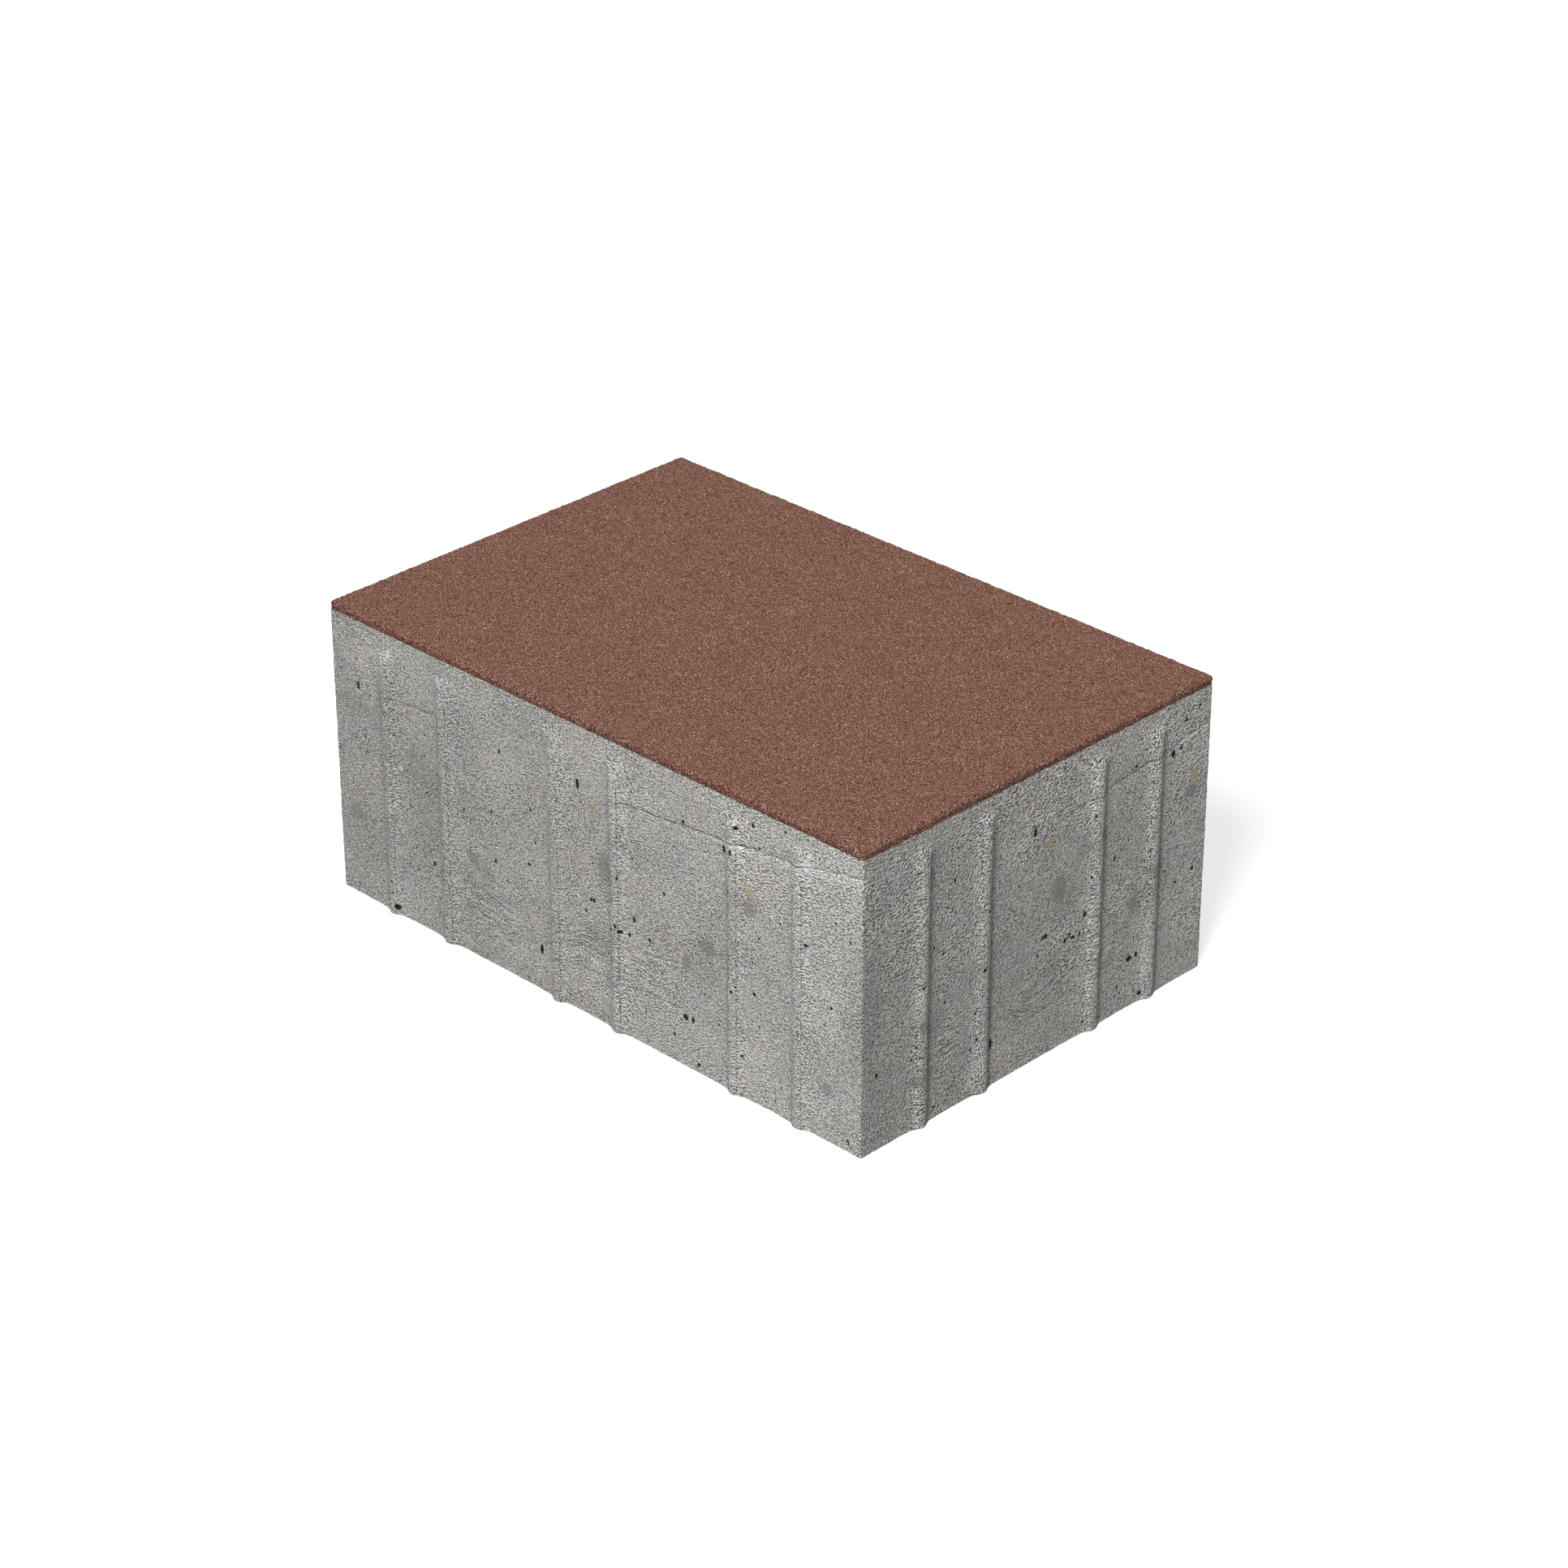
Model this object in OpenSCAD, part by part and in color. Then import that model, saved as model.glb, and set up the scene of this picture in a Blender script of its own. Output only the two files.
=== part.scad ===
// Rectangular concrete paving stone: a grey core with upright spacer ribs on its four sides,
// and a thin layer of coloured face concrete pressed onto its top.
// The origin is at the middle of the underside, +X runs along the stone and +Z is up.

/* [Stone] */
// Length over the side walls, without the ribs
stone_l = 180; // [150:1:300]
// Width over the side walls, without the ribs
stone_w = 120; // [90:1:240]
// Height from the bed to the wearing face
stone_h = 80; // [60:1:120]

/* [Face layer] */
// Thickness of the coloured face concrete
face_t = 2; // [1:0.5:15]
// Rounding of the arris round the wearing face
arris_r = 0.6; // [0.3:0.1:0.9]

/* [Spacer ribs] */
// How far a rib stands out from its wall
rib_h = 1.4; // [1:0.1:3]
// Rounding of the crest of a rib
rib_crest_r = 2.2; // [1.5:0.1:3]
// Fillet between the foot of a rib and its wall
rib_foot_r = 3.5; // [1.5:0.1:4]
// Rounding over which the upper end of a rib dies into its wall
rib_nose_r = 3.2; // [2:0.1:6]
// Distance between the two ribs of a pair, crest to crest
rib_spacing = 20.8; // [16:0.1:24]
// Distance between neighbouring pairs, middle to middle
pair_spacing = 60; // [58:1:80]
// Distance from the top of the core down to the upper end of the ribs
rib_drop = 4; // [1:0.5:20]

/* [Hidden] */
$fn = 64;

core_h = stone_h - face_t;
rib_top = core_h - rib_drop;

// Lets a round cut cross a flat face at a slight angle instead of only grazing it
graze = 0.02;
// Length by which a cutting body overshoots what it cuts
overshoot = 1;

// Crest and foot arcs touch on the line between their centres
crest_y = rib_h - rib_crest_r;
arc_sum = rib_crest_r + rib_foot_r;
foot_x = sqrt(arc_sum ^ 2 - (rib_foot_r - crest_y) ^ 2);
touch_share = rib_crest_r / arc_sum;
touch_x = foot_x * touch_share;
touch_y = crest_y + (rib_foot_r - crest_y) * touch_share;
// Depth to which the solid of a rib reaches into its wall
rib_root = rib_crest_r;

// The nose arc leaves the crest here, and meets the wall at rib_top
nose_y = rib_h + graze - rib_nose_r;
nose_z = rib_top - sqrt(rib_nose_r ^ 2 - nose_y ^ 2);

function pair_count(side) = max(1, round(side / pair_spacing));
function pair_place(i, count) = (i - (count - 1) / 2) * pair_spacing;

// Section of the two foot fillets of a rib on the wall y = 0
module foot_section() {
    difference() {
        polygon([
            [-foot_x, -rib_root],
            [foot_x, -rib_root],
            [foot_x, 0],
            [touch_x, touch_y],
            [-touch_x, touch_y],
            [-foot_x, 0]
        ]);
        for (side = [-1, 1])
            translate([side * foot_x, rib_foot_r - graze])
                circle(r = rib_foot_r);
    }
}

// What is taken off the upper end of a rib to leave its rounded nose
module nose_cut() {
    cut_w = 2 * (foot_x + overshoot);
    difference() {
        translate([-cut_w / 2, -rib_root - overshoot, nose_z])
            cube([cut_w, rib_root + rib_h + 2 * overshoot, rib_top - nose_z + 2 * rib_h]);
        translate([-cut_w / 2 - overshoot, nose_y, nose_z])
            rotate([0, 90, 0])
                cylinder(r = rib_nose_r, h = cut_w + 2 * overshoot);
    }
}

// One rib on the wall y = 0, standing out along +Y
module rib() {
    blank_h = rib_top + rib_h;
    difference() {
        union() {
            translate([0, crest_y, 0])
                cylinder(r = rib_crest_r, h = blank_h);
            linear_extrude(blank_h)
                foot_section();
        }
        nose_cut();
    }
}

// The pairs of ribs along one wall of the given length, at the given distance from the middle
module wall_ribs(side, reach) {
    count = pair_count(side);
    for (i = [0 : count - 1])
        for (hand = [-1, 1])
            translate([pair_place(i, count) + hand * rib_spacing / 2, reach, 0])
                rib();
}

// What is taken off one top edge to round its arris, on the wall at the given distance
module arris_cut(side, reach) {
    cut_l = side + 2 * overshoot;
    difference() {
        translate([-cut_l / 2, reach - arris_r, stone_h - arris_r])
            cube([cut_l, arris_r + overshoot, arris_r + overshoot]);
        translate([-cut_l / 2 - overshoot, reach - arris_r, stone_h - arris_r])
            rotate([0, 90, 0])
                cylinder(r = arris_r + graze, h = cut_l + 2 * overshoot);
    }
}

// Grey core concrete with the ribs cast on all four walls
module core_block() {
    color([0.60, 0.59, 0.57])
        union() {
            translate([-stone_l / 2, -stone_w / 2, 0])
                cube([stone_l, stone_w, core_h]);
            for (turn = [0, 180])
                rotate(turn) {
                    wall_ribs(stone_l, stone_w / 2);
                    rotate(90)
                        wall_ribs(stone_w, stone_l / 2);
                }
        }
}

// Red-brown face concrete that lies on the core
module face_layer() {
    color([0.48, 0.34, 0.29])
        difference() {
            translate([-stone_l / 2, -stone_w / 2, core_h])
                cube([stone_l, stone_w, face_t]);
            for (turn = [0, 180])
                rotate(turn) {
                    arris_cut(stone_l, stone_w / 2);
                    rotate(90)
                        arris_cut(stone_w, stone_l / 2);
                }
        }
}

core_block();
face_layer();
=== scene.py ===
"""Looks of a concrete paving stone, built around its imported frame.

The stone is a grey core with upright spacer ribs under a thin red-brown face layer. Both pieces are closed
shells that follow the frame's solids. Geometry nodes raise the ribs, carve pores and cracks and roughen the
skin, and procedural finishes give the grain, specks, stains and mottle of the two concretes.
"""

import logging
import math
from collections.abc import Callable, Iterable
from dataclasses import asdict, dataclass, field
from enum import Enum

import bmesh
import bpy
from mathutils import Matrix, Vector
from mathutils.kdtree import KDTree


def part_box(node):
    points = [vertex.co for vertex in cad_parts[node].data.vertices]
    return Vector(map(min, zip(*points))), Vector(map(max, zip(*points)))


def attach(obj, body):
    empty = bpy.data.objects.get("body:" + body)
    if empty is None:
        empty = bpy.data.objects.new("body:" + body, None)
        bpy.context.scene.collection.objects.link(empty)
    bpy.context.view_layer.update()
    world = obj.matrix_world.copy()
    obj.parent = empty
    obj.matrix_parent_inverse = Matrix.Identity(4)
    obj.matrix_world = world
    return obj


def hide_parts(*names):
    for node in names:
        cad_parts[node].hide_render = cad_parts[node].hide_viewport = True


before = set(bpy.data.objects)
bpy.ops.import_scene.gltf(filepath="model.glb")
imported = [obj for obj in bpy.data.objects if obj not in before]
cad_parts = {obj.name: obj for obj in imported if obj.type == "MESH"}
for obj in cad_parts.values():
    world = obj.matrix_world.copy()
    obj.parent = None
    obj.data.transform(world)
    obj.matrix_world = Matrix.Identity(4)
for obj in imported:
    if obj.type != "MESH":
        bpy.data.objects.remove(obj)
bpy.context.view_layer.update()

LOG = logging.getLogger("paving_stone")
MM = 0.001
BODY = "root"
# Upright part of its normal from which a face lies flat
FLAT_FROM = 0.5

Colour = tuple[float, float, float]
Coords = tuple[float, float, float]
Span = tuple[float, float]
Socket = bpy.types.NodeSocket
Tree = bpy.types.NodeTree
Feed = Socket | float | str | tuple


class Wall(Enum):
    """The four upright walls, each with its outward direction and the direction in which its marks run."""

    FRONT = ((0, -1), (1, 0))
    RIGHT = ((1, 0), (0, 1))
    BACK = ((0, 1), (-1, 0))
    LEFT = ((-1, 0), (0, -1))


class Mark(Enum):
    """Numbers that are stored over the skin of the stone, by the names of their attributes."""

    PORE = "pore"
    STAIN = "stain"
    PALE = "pale"
    RUST = "rust"
    BLOTCH = "blotch"
    SHADE = "shade"
    GLEAM = "gleam"
    RIPPLE = "ripple"
    RUN = "run"
    RIB_OFFSET = "rib_offset"
    CRACK_OFFSET = "crack_offset"
    CRACK_SHARE = "crack_share"
    RIM = "rim"


SPOT_KINDS = (Mark.PORE, Mark.STAIN, Mark.PALE, Mark.RUST, Mark.BLOTCH, Mark.SHADE, Mark.GLEAM, Mark.RIPPLE)


@dataclass(frozen=True)
class StoneSizes:
    """Sizes that the pieces share, in metres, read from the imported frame."""

    half_length: float
    half_width: float
    core_top: float
    stone_top: float
    rib_height: float

    @classmethod
    def from_frame(cls) -> "StoneSizes":
        """Reads the sizes from the boxes of the two solids.

        Returns:
            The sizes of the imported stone.
        """
        _, core_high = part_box("core_block")
        face_low, face_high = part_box("face_layer")
        return cls(face_high.x, face_high.y, face_low.z, face_high.z, core_high.x - face_high.x)

    def wall_point(self, wall: Wall, run: float, height: float) -> Vector | None:
        """Finds a point on a wall.

        Args:
            wall: The wall.
            run: Distance along the wall from its middle.
            height: Height above the bed.

        Returns:
            The point, or None where the wall is too short to have it.
        """
        out, along = wall.value
        reach = abs(along[0]) * self.half_length + abs(along[1]) * self.half_width
        if abs(run) > reach:
            return None
        x = out[0] * self.half_length + along[0] * run
        y = out[1] * self.half_width + along[1] * run
        return Vector((x, y, height))


def titled(values: dict[str, object]) -> dict[str, object]:
    """Turns the names of fields into the names of sockets, with spaces and capitals."""
    return {name.replace("_", " ").title(): value for name, value in values.items()}


def cleared(owner: bpy.types.Material | bpy.types.World) -> Tree:
    """Empties the node tree of a new material or world.

    Args:
        owner: The material or world.

    Returns:
        Its node tree.
    """
    owner.use_nodes = True
    owner.node_tree.nodes.clear()
    return owner.node_tree


def placed(name: str, data: bpy.types.ID) -> bpy.types.Object:
    """Puts a mesh, a light or a camera into the scene.

    Args:
        name: The object's name.
        data: What it shows.

    Returns:
        The object, at the origin.
    """
    made = bpy.data.objects.new(name, data)
    bpy.context.scene.collection.objects.link(made)
    return made


class Wiring:
    """Adds nodes to one tree and links them, one call for each step."""

    # Numbers of a Mix node's colour sockets
    MIX_UNDER = 6
    MIX_OVER = 7
    MIX_RESULT = 2

    def __init__(self, tree: Tree) -> None:
        """Keeps the shader or geometry tree to work on."""
        self.tree = tree

    def node(
        self, kind: str, feeds: dict[str | int, Feed] | None = None, **settings: object
    ) -> bpy.types.Node:
        """Adds a node.

        Args:
            kind: The node's type name.
            feeds: What goes into each input, by its name or number: a socket or a plain value.
            **settings: The node's own properties.

        Returns:
            The new node.
        """
        made = self.tree.nodes.new(kind)
        for name, value in settings.items():
            setattr(made, name, value)
        for key, value in (feeds or {}).items():
            self.feed(made.inputs[key], value)
        return made

    def feed(self, socket: Socket, value: Feed) -> None:
        """Links a socket into an input, or sets the input's value.

        Args:
            socket: The input.
            value: A socket or a plain value.
        """
        if isinstance(value, Socket):
            self.tree.links.new(value, socket)
        else:
            socket.default_value = value

    def math(self, operation: str, *terms: Feed, clamp: bool = False) -> Socket:
        """Adds a math node with its terms, and holds the result from 0 to 1 where asked."""
        feeds = dict(enumerate(terms))
        return self.node("ShaderNodeMath", feeds, operation=operation, use_clamp=clamp).outputs[0]

    def product(self, first: Feed, *others: Feed) -> Socket:
        """Multiplies numbers with each other.

        Args:
            first: The first number.
            *others: The other numbers.

        Returns:
            The product.
        """
        for other in others:
            first = self.math("MULTIPLY", first, other)
        return first

    def between(self, share: Feed, low: Feed, high: Feed) -> Socket:
        """Goes a share of the way from a low number to a high one."""
        return self.math("MULTIPLY_ADD", self.math("SUBTRACT", high, low), share, low)

    def centred(self, tone: Feed, reach: float) -> Socket:
        """Turns a tone from 0 to 1 into one about 0 that goes as far as the reach to each side."""
        return self.math("MULTIPLY_ADD", tone, 2.0 * reach, -reach)

    def vector(self, operation: str, *terms: Feed) -> Socket:
        """Adds a vector math node, which gives a number for a length and a vector for the rest."""
        made = self.node("ShaderNodeVectorMath", dict(enumerate(terms)), operation=operation)
        return made.outputs["Value" if operation == "LENGTH" else "Vector"]

    def scaled(self, vector: Feed, factor: Feed) -> Socket:
        """Multiplies a vector or a colour by one number."""
        feeds = {0: vector, "Scale": factor}
        return self.node("ShaderNodeVectorMath", feeds, operation="SCALE").outputs["Vector"]

    def split(self, vector: Feed) -> list[Socket]:
        """Splits a vector into its three numbers."""
        return list(self.node("ShaderNodeSeparateXYZ", {0: vector}).outputs)

    def joined(self, x: Feed, y: Feed, z: Feed) -> Socket:
        """Makes a vector of three numbers."""
        return self.node("ShaderNodeCombineXYZ", {0: x, 1: y, 2: z}).outputs[0]

    def ramp(self, value: Feed, start: Feed, end: Feed, low: float = 0.0, high: float = 1.0) -> Socket:
        """Maps a value smoothly from the range of start and end to that of low and high."""
        feeds = {"Value": value, "From Min": start, "From Max": end, "To Min": low, "To Max": high}
        return self.node("ShaderNodeMapRange", feeds, interpolation_type="SMOOTHSTEP").outputs[0]

    def noise(self, place: Feed, size: Feed, detail: float = 2.0, rough: float = 0.5) -> Socket:
        """Adds a noise of a given grain size.

        Args:
            place: Coordinates, in metres.
            size: Size of one grain, in metres.
            detail: Number of finer layers.
            rough: Weight of the finer layers.

        Returns:
            The noise from 0 to 1, about 0.5 on average.
        """
        scale = self.math("DIVIDE", 1.0, size)
        feeds = {"Vector": place, "Scale": scale, "Detail": detail, "Roughness": rough}
        return self.node("ShaderNodeTexNoise", feeds, noise_dimensions="3D").outputs[0]

    def mixed(self, share: Feed, under: Feed, over: Feed) -> Socket:
        """Lays one colour over another.

        Args:
            share: How much of the upper colour shows, from 0 to 1.
            under: The lower colour.
            over: The upper colour.

        Returns:
            The mixed colour.
        """
        made = self.node("ShaderNodeMix", {0: share}, data_type="RGBA", clamp_factor=True)
        for number, colour in ((self.MIX_UNDER, under), (self.MIX_OVER, over)):
            self.feed(made.inputs[number], (*colour, 1.0) if isinstance(colour, tuple) else colour)
        return made.outputs[self.MIX_RESULT]


def new_tree(
    name: str, kind: str, inputs: dict[str, tuple], outputs: dict[str, str]
) -> tuple[Wiring, dict[str, Socket], bpy.types.Node]:
    """Makes a node group with named sockets.

    Args:
        name: The group's name.
        kind: Its type name.
        inputs: Socket type and start value, or None, by the input's name.
        outputs: Socket type by the output's name.

    Returns:
        The wiring of the group, its inputs by name, and its output node.
    """
    tree = bpy.data.node_groups.new(name, kind)
    for label, (socket_type, start) in inputs.items():
        socket = tree.interface.new_socket(name=label, in_out="INPUT", socket_type=socket_type)
        if start is not None:
            socket.default_value = start
    for label, socket_type in outputs.items():
        tree.interface.new_socket(name=label, in_out="OUTPUT", socket_type=socket_type)
    wiring = Wiring(tree)
    entry = wiring.node("NodeGroupInput")
    return wiring, {label: entry.outputs[label] for label in inputs}, wiring.node("NodeGroupOutput")


class GeometryTrees:
    """Geometry trees that shape the skin of the stone. Each is built once and set by its named inputs."""

    FLOAT = "NodeSocketFloat"
    VECTOR = ("NodeSocketVector", None)
    OBJECT = ("NodeSocketObject", None)
    GEOMETRY = ("NodeSocketGeometry", None)
    MATERIAL = ("NodeSocketMaterial", None)
    RESULT = {"Geometry": "NodeSocketGeometry"}
    FAR_FROM_SPOT = -1.0
    WALL_SKIN = 0.05 * MM
    GROOVE_FLAT = 0.2

    def __init__(self) -> None:
        """Builds the trees."""
        self.nearest = self._nearest()
        self.marks = self._marks()
        self.ribs = self._ribs()
        self.relief = self._relief()

    @staticmethod
    def _close(wiring: Wiring, out: bpy.types.Node, shape: Feed, material: Feed) -> None:
        """Ends a tree with plain geometry that has its material.

        Args:
            wiring: The tree's wiring.
            out: Its output node.
            shape: The finished geometry.
            material: The material.
        """
        plain = wiring.node("GeometryNodeRealizeInstances", {0: shape}).outputs[0]
        dressed = wiring.node("GeometryNodeSetMaterial", {"Geometry": plain, "Material": material})
        wiring.feed(out.inputs["Geometry"], dressed.outputs[0])

    @staticmethod
    def _stored(wiring: Wiring, shape: Feed, kind: Mark, value: Feed) -> Socket:
        """Stores a mark's number at each point of a shape.

        Args:
            wiring: The tree's wiring.
            shape: The shape.
            kind: The mark.
            value: Its number.

        Returns:
            The shape with the mark.
        """
        feeds = {"Geometry": shape, "Name": kind.value, "Value": value}
        settings = {"data_type": "FLOAT", "domain": "POINT"}
        return wiring.node("GeometryNodeStoreNamedAttribute", feeds, **settings).outputs[0]

    @staticmethod
    def _number(wiring: Wiring, name: Feed) -> Socket:
        """Reads a stored number by its name, which is 0 where none is stored."""
        return wiring.node("GeometryNodeInputNamedAttribute", {"Name": name}, data_type="FLOAT").outputs[0]

    def _nearest(self) -> Tree:
        """Builds the group that reads a stored number of the nearest point of a set.

        Returns:
            The group, which also puts out where that point is.
        """
        inputs = {"Points": self.GEOMETRY, "Position": self.VECTOR, "Name": ("NodeSocketString", "")}
        outputs = {"Value": self.FLOAT, "Place": "NodeSocketVector"}
        wiring, given, out = new_tree("Nearest point", "GeometryNodeTree", inputs, outputs)
        feeds = {0: given["Points"], 1: given["Position"]}
        nearest = wiring.node("GeometryNodeSampleNearest", feeds, domain="POINT").outputs[0]
        named = self._number(wiring, given["Name"])
        place = wiring.node("GeometryNodeInputPosition").outputs[0]
        for label, source, data_type in (("Value", named, "FLOAT"), ("Place", place, "FLOAT_VECTOR")):
            feeds = {"Geometry": given["Points"], "Value": source, "Index": nearest}
            read = wiring.node("GeometryNodeSampleIndex", feeds, data_type=data_type, domain="POINT")
            wiring.feed(out.inputs[label], read.outputs[0])
        return wiring.tree

    def _read_nearest(self, wiring: Wiring, points: Feed, place: Feed, name: str) -> bpy.types.Node:
        """Places the group that reads a named number of the point nearest to a place."""
        feeds = {"Points": points, "Position": place, "Name": name}
        return wiring.node("GeometryNodeGroup", feeds, node_tree=self.nearest)

    def _marks(self) -> Tree:
        """Builds the tree that stores how near each point of a wall is to its spots and cracks.

        Returns:
            The tree. A spot's number is 1 in its middle, 0 at its rim and negative outside.
        """
        names = ("Crack Fade", "Crack Wander", "Wander Size", "Ragged Size", "Ragged Share")
        inputs = {"Geometry": self.GEOMETRY}
        inputs |= {f"{kind.value} spots": self.OBJECT for kind in SPOT_KINDS} | {"crack lines": self.OBJECT}
        inputs |= {name: (self.FLOAT, 1.0) for name in names} | {"Material": self.MATERIAL}
        wiring, given, out = new_tree("Wall marks", "GeometryNodeTree", inputs, self.RESULT)
        place = wiring.node("GeometryNodeInputPosition").outputs[0]
        ragged = wiring.centred(wiring.noise(place, given["Ragged Size"]), 0.5)
        ragged = wiring.product(ragged, given["Ragged Share"])
        shape = given["Geometry"]
        for kind in SPOT_KINDS:
            helper = given[f"{kind.value} spots"]
            spots = wiring.node("GeometryNodeObjectInfo", {0: helper}).outputs["Geometry"]
            wide = self._read_nearest(wiring, spots, place, "half_width").outputs
            tall = self._read_nearest(wiring, spots, place, "half_height").outputs
            x, y, z = wiring.split(wiring.vector("SUBTRACT", place, wide["Place"]))
            flat = wiring.vector("LENGTH", wiring.joined(x, y, 0.0))
            across = wiring.math("DIVIDE", flat, wide["Value"])
            upright = wiring.math("DIVIDE", z, tall["Value"])
            reach = wiring.vector("LENGTH", wiring.joined(across, upright, 0.0))
            near = wiring.math("SUBTRACT", wiring.math("ADD", ragged, 1.0), reach)
            shape = self._stored(wiring, shape, kind, wiring.math("MAXIMUM", near, self.FAR_FROM_SPOT))
        lines = wiring.node("GeometryNodeObjectInfo", {0: given["crack lines"]}).outputs["Geometry"]
        drift = wiring.centred(wiring.noise(place, given["Wander Size"], detail=3.0, rough=0.6), 0.5)
        drift = wiring.product(drift, given["Crack Wander"])
        drifted = wiring.vector("ADD", place, wiring.joined(0.0, 0.0, drift))
        feeds = {0: lines, "Sample Position": drifted}
        line = wiring.node("GeometryNodeProximity", feeds, target_element="EDGES")
        x, y, z = wiring.split(wiring.vector("SUBTRACT", drifted, line.outputs["Position"]))
        beyond = wiring.vector("LENGTH", wiring.joined(x, y, 0.0))
        ending = wiring.ramp(wiring.math("DIVIDE", beyond, given["Crack Fade"]), 0.0, 1.0, 1.0, 0.0)
        strength = self._read_nearest(wiring, lines, drifted, "strength").outputs["Value"]
        shape = self._stored(wiring, shape, Mark.CRACK_OFFSET, z)
        shape = self._stored(wiring, shape, Mark.CRACK_SHARE, wiring.product(strength, ending))
        self._close(wiring, out, shape, given["Material"])
        return wiring.tree

    def _ribs(self) -> Tree:
        """Builds the tree that raises the spacer ribs out of the four walls.

        Returns:
            The tree.
        """
        names = ("Half Length", "Half Width", "Side Shift", "End Shift", "Pair Spacing", "Rib Spacing")
        names += ("Crest Radius", "Crest Centre", "Touch Reach", "Foot Radius", "Foot Reach")
        names += ("Nose Radius", "Nose Centre", "Nose Start", "Rib Height", "Skirt Height", "Skirt Reach")
        inputs = {"Geometry": self.GEOMETRY} | {name: (self.FLOAT, 0.0) for name in names}
        inputs |= {"Material": self.MATERIAL}
        wiring, given, out = new_tree("Spacer ribs", "GeometryNodeTree", inputs, self.RESULT)
        math_of = wiring.math

        def arc(radius: Feed, offset: Feed) -> Socket:
            """Works out the height of a circle over its centre at an offset."""
            under = math_of("SUBTRACT", math_of("POWER", radius, 2.0), math_of("POWER", offset, 2.0))
            return math_of("SQRT", math_of("MAXIMUM", under, 0.0))

        def crest_offset(run: Feed, shift: Feed) -> Socket:
            """Works out the offset from the nearest crest.

            Args:
                run: Place along the wall.
                shift: Shift of the pairs along the wall.

            Returns:
                The offset, positive towards the middle of its pair.
            """
            half_pair = wiring.product(given["Pair Spacing"], 0.5)
            cycle = math_of("FLOORED_MODULO", math_of("ADD", run, shift), given["Pair Spacing"])
            from_pair = math_of("ABSOLUTE", math_of("SUBTRACT", cycle, half_pair))
            return math_of("SUBTRACT", wiring.product(given["Rib Spacing"], 0.5), from_pair)

        def section(offset: Feed) -> Socket:
            """Works out the section of a rib with its soft skirt.

            Args:
                offset: Offset from the crest.

            Returns:
                The height of the section over the wall.
            """
            off = math_of("ABSOLUTE", offset)
            crest = math_of("ADD", given["Crest Centre"], arc(given["Crest Radius"], off))
            short_of = math_of("MAXIMUM", math_of("SUBTRACT", given["Foot Reach"], off), 0.0)
            foot = math_of("SUBTRACT", given["Foot Radius"], arc(given["Foot Radius"], short_of))
            plain = wiring.between(math_of("LESS_THAN", off, given["Touch Reach"]), foot, crest)
            beyond = math_of("SUBTRACT", 1.0, math_of("DIVIDE", off, given["Skirt Reach"]), clamp=True)
            skirt = wiring.product(math_of("POWER", beyond, 2.0), given["Skirt Height"])
            bare = math_of("SUBTRACT", 1.0, math_of("DIVIDE", plain, given["Rib Height"]), clamp=True)
            return math_of("MULTIPLY_ADD", skirt, bare, plain)

        x, y, z = wiring.split(wiring.node("GeometryNodeInputPosition").outputs[0])
        above = math_of("MAXIMUM", math_of("SUBTRACT", z, given["Nose Start"]), 0.0)
        nose = math_of("ADD", given["Nose Centre"], arc(given["Nose Radius"], above))
        pushes, offsets, runs, walls = [], [], [], []
        for across, run, half, shift, turn in (
            (x, y, "Half Length", "End Shift", 1.0),
            (y, x, "Half Width", "Side Shift", -1.0),
        ):
            skin = math_of("SUBTRACT", given[half], self.WALL_SKIN)
            walls.append(math_of("GREATER_THAN", math_of("ABSOLUTE", across), skin))
            offsets.append(crest_offset(run, given[shift]))
            height = math_of("MAXIMUM", math_of("MINIMUM", section(offsets[-1]), nose), 0.0)
            outward = math_of("SIGN", across)
            pushes.append(wiring.product(height, wiring.product(outward, walls[-1])))
            runs.append(wiring.product(run, outward, turn))
        shape = given["Geometry"]
        for kind, (at_end, at_side) in ((Mark.RUN, runs), (Mark.RIB_OFFSET, offsets)):
            shape = self._stored(wiring, shape, kind, wiring.between(walls[1], at_end, at_side))
        feeds = {"Geometry": shape, "Offset": wiring.joined(*pushes, 0.0)}
        raised = wiring.node("GeometryNodeSetPosition", feeds)
        self._close(wiring, out, raised.outputs[0], given["Material"])
        return wiring.tree

    def _relief(self) -> Tree:
        """Builds the tree that roughens a skin and sinks its pores and cracks.

        Returns:
            The tree.
        """
        names = ("Swell Height", "Swell Size", "Grain Height", "Grain Size", "Proud", "Rim Gain")
        names += ("Pore Wall", "Pore Depth", "Crack Reach", "Crack Depth", "Lowest", "Highest")
        inputs = {"Geometry": self.GEOMETRY} | {name: (self.FLOAT, 1.0) for name in names}
        inputs |= {"Seed Shift": self.VECTOR, "Material": self.MATERIAL}
        wiring, given, out = new_tree("Concrete relief", "GeometryNodeTree", inputs, self.RESULT)
        pore, off, share, rim = (
            self._number(wiring, kind.value)
            for kind in (Mark.PORE, Mark.CRACK_OFFSET, Mark.CRACK_SHARE, Mark.RIM)
        )
        place = wiring.node("GeometryNodeInputPosition").outputs[0]
        normal = wiring.node("GeometryNodeInputNormal").outputs[0]
        shifted = wiring.vector("ADD", place, given["Seed Shift"])
        rise = given["Proud"]
        gain = wiring.math("MULTIPLY_ADD", rim, given["Rim Gain"], 1.0)
        for layer, detail, layer_gain in (("Swell", 2.0, 1.0), ("Grain", 1.0, gain)):
            wave = wiring.centred(wiring.noise(shifted, given[f"{layer} Size"], detail), 0.5)
            height = wiring.product(layer_gain, given[f"{layer} Height"])
            rise = wiring.math("MULTIPLY_ADD", wave, height, rise)
        hollow = wiring.ramp(pore, 0.0, given["Pore Wall"])
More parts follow.
